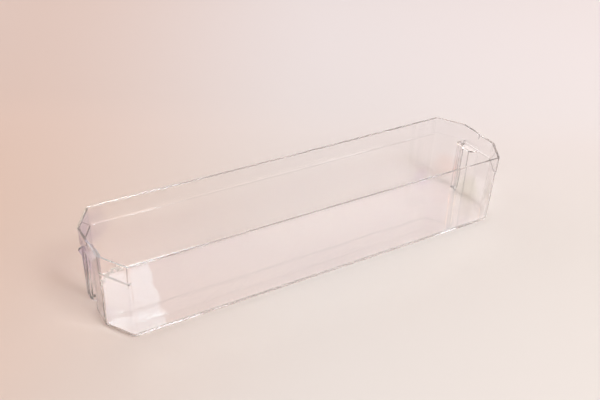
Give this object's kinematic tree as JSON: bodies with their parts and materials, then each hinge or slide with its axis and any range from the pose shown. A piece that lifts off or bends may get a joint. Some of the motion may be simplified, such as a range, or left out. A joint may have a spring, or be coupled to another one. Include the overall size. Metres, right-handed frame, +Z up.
{
  "type": "refrigerator door shelf",
  "caption": "Long clear plastic door tray, open at the top, with slanted corners, a stepped band round the rim of the ends and the back, and a lug pocket, a socket and a hooked guide rib moulded into each end.",
  "frame": {"origin": "middle of the flat underside, in plan and in height", "axes": "+X along the tray's length, -Y towards its front, which faces the room, +Z up through the open top"},
  "size_m": [0.446, 0.104, 0.0785],
  "materials": {
    "clear_plastic": "clear, polished, almost colourless"
  },
  "bodies": {
    "root": {"door_shelf": "clear_plastic"}
  },
  "joints": []
}
